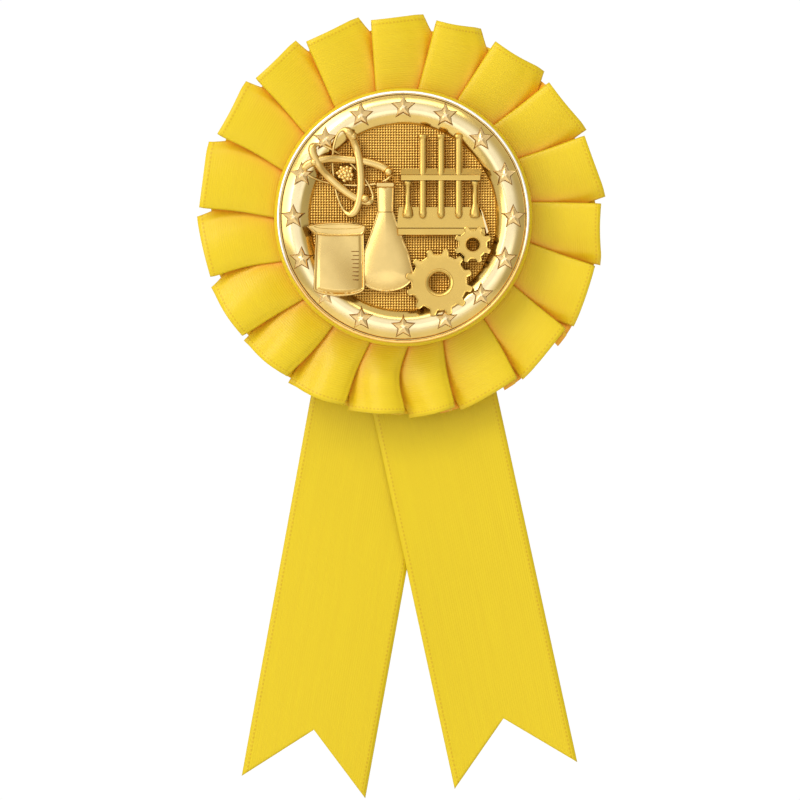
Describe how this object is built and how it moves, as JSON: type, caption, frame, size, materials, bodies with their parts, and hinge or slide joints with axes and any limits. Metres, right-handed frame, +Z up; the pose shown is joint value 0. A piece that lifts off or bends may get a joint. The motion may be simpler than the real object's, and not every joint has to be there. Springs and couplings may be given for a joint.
{
  "type": "award ribbon rosette",
  "caption": "Yellow pleated satin rosette with a struck gold medal in its middle, two swallow-tailed ribbons and a locking bar pin on the back.",
  "frame": {"origin": "middle of the backing card's rear face, level with the medal's centre, where the garment lies against the card", "axes": "+Z up as worn, -Y out of the medal's face towards the viewer, +Y into the garment, +X to the viewer's right"},
  "size_m": [0.081, 0.0249, 0.1577],
  "materials": {
    "yellow_satin": "satin weave, soft sheen",
    "gold": "stamped and gold anodised, bright",
    "white_card": "matt",
    "grey_board": "matt",
    "white_foam": "closed-cell foam tape",
    "steel": "nickel plated",
    "thread": "spun polyester"
  },
  "bodies": {
    "rosette": {"medal": "gold", "medal_pad": "white_foam", "button_cover": "yellow_satin", "button_card": "grey_board", "button_pad": "white_foam", "rosette_ribbon": "yellow_satin", "gathering_thread": "thread", "pleat_card": "grey_board", "staple_upper": "steel", "staple_lower": "steel", "tail_front_root": "yellow_satin", "tail_rear_root": "yellow_satin", "back_card_tape": "white_foam", "back_card": "white_card", "pin_pad": "white_foam", "pin_base": "steel", "pin_rivet": "steel", "catch_housing": "steel"},
    "front_tail": {"tail_front": "yellow_satin"},
    "rear_tail": {"tail_rear": "yellow_satin"},
    "pin_arm": {"pin_arm": "steel"},
    "catch_sleeve": {"catch_sleeve": "steel"}
  },
  "joints": [
    {"name": "front_tail_lift", "type": "hinge", "parent": "rosette", "child": "front_tail", "pos_m": [0, -0.0033, -0.04217], "axis": [-1, 0, 0], "range_deg": [0, 75]},
    {"name": "rear_tail_lift", "type": "hinge", "parent": "rosette", "child": "rear_tail", "pos_m": [0, -0.0026, -0.04217], "axis": [1, 0, 0], "range_deg": [0, 60]},
    {"name": "pin_arm_open", "type": "hinge", "parent": "rosette", "child": "pin_arm", "pos_m": [-0.013, 0.0052, 0.012], "axis": [0, 0, 1], "range_deg": [0, 100]},
    {"name": "catch_turn", "type": "hinge", "parent": "rosette", "child": "catch_sleeve", "pos_m": [0.013, 0.0052, 0.012], "axis": [1, 0, 0], "range_deg": [0, 90]}
  ]
}
